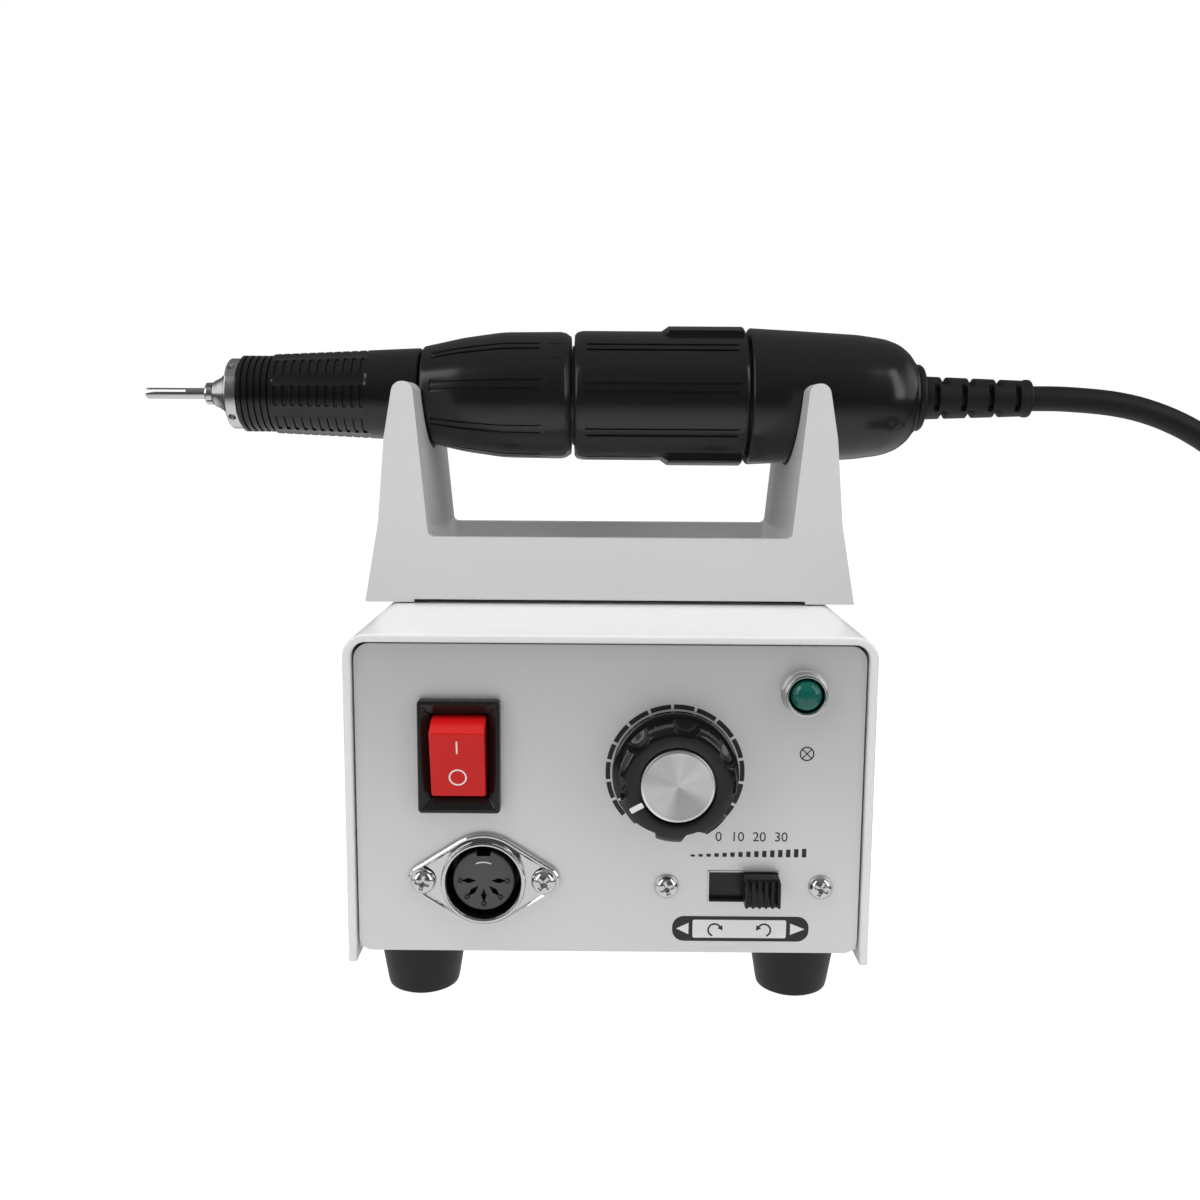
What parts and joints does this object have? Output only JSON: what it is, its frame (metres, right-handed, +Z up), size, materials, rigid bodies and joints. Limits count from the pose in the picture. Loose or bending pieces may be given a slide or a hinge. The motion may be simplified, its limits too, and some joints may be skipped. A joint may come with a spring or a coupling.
{
  "type": "dental polishing machine",
  "caption": "Bench micromotor polisher: a control box with rocker switch, speed knob and direction slide, a white cradle on top, and a corded handpiece lying in it.",
  "frame": {"origin": "on the surface that the feet stand on, under the middle of the machine's box without its free lead, coil and plug", "axes": "+Z up, the front panel faces -Y, +X to the right seen from the front and along the handpiece from its nose to its lead"},
  "size_m": [0.3161, 0.186, 0.1299],
  "materials": {
    "cover_paint": "smooth white stoved enamel on folded sheet",
    "panel_paint": "fine light grey stoved enamel",
    "cradle_plastic": "white moulding with a soft gloss",
    "black_rubber": "matt moulded rubber",
    "black_plastic": "black moulding",
    "grip_finish": "black anodised turned grip",
    "motor_plastic": "black moulding with a soft gloss",
    "red_plastic": "red rocker moulding",
    "green_lens": "dark green clear lens",
    "chrome": "bright plate",
    "steel": "turned and plated steel",
    "spun_aluminium": "spun face with round brush marks",
    "copper": "enamelled copper winding",
    "core_iron": "stacked transformer plates",
    "board_green": "green circuit board",
    "magnet_black": "sintered magnet",
    "carbon": "carbon brush",
    "brass": "turned brass"
  },
  "bodies": {
    "console": {"case_cover": "cover_paint", "chassis": "panel_paint", "foot_front_left": "black_rubber", "foot_front_right": "black_rubber", "foot_rear_left": "black_rubber", "foot_rear_right": "black_rubber", "cover_screw_1": "steel", "cover_screw_2": "steel", "cover_screw_3": "steel", "cover_screw_4": "steel", "switch_body": "black_plastic", "lamp_bezel": "chrome", "lamp_lens": "green_lens", "pot_body": "steel", "pot_nut": "brass", "socket_flange": "chrome", "socket_insert": "black_plastic", "socket_screw_left": "steel", "socket_screw_right": "steel", "slide_switch_body": "steel", "slide_screw_left": "steel", "slide_screw_right": "steel", "transformer_core": "core_iron", "transformer_coil": "copper", "circuit_board": "board_green", "board_bracket": "steel", "heat_sink": "spun_aluminium", "fuse_holder": "black_plastic", "mains_inlet": "black_plastic", "cradle": "cradle_plastic", "cradle_screw_1": "steel", "cradle_screw_2": "steel", "cord_lead": "black_rubber", "cord_coil": "black_rubber", "plug_body": "black_plastic", "plug_shell": "chrome", "plug_pins": "black_plastic"},
    "power_rocker": {"rocker_button": "red_plastic"},
    "speed_knob": {"knob_body": "black_plastic", "knob_cap": "spun_aluminium", "pot_shaft": "steel"},
    "direction_slider": {"slider_button": "black_plastic"},
    "handpiece": {"nose_cone": "steel", "nose_grip": "grip_finish", "motor_housing": "steel", "motor_sleeve": "motor_plastic", "rear_cap": "motor_plastic", "gland_ring": "black_rubber", "strain_relief": "black_rubber", "front_bearing": "chrome", "rear_bearing": "chrome", "end_bell": "black_plastic", "stator_magnet": "magnet_black", "carbon_brush_upper": "carbon", "carbon_brush_lower": "carbon"},
    "chuck_collar": {"lock_collar": "motor_plastic"},
    "spindle": {"spindle_shaft": "steel", "armature": "copper"},
    "collet": {"collet_jaws": "steel", "mandrel": "chrome"}
  },
  "joints": [
    {"name": "power_rocker_tilt", "type": "hinge", "parent": "console", "child": "power_rocker", "pos_m": [-0.0221, -0.05935, 0.0486], "axis": [-1, 0, 0], "range_deg": [0, 24]},
    {"name": "speed_knob_turn", "type": "hinge", "parent": "console", "child": "speed_knob", "pos_m": [0.0172, -0.05945, 0.0457], "axis": [0, 1, 0], "range_deg": [-32, 268]},
    {"name": "direction_slide", "type": "slide", "parent": "console", "child": "direction_slider", "axis": [1, 0, 0], "range_m": [-0.006, 0]},
    {"name": "handpiece_lift", "type": "slide", "parent": "console", "child": "handpiece", "axis": [0, 0, 1], "range_m": [0, 0.07]},
    {"name": "chuck_ring_turn", "type": "hinge", "parent": "handpiece", "child": "chuck_collar", "pos_m": [-0.0027, 0.00035, 0.1146], "axis": [1, 0, 0], "range_deg": [0, 50]},
    {"name": "spindle_spin", "type": "hinge", "parent": "handpiece", "child": "spindle", "pos_m": [-0.0027, 0.00035, 0.1146], "axis": [1, 0, 0], "continuous": true},
    {"name": "collet_slide", "type": "slide", "parent": "spindle", "child": "collet", "axis": [-1, 0, 0], "range_m": [0, 0.0006]}
  ],
  "couplings": [
    {"joint": "collet_slide", "follows": "chuck_ring_turn", "m_per_rad": 0.00068}
  ]
}
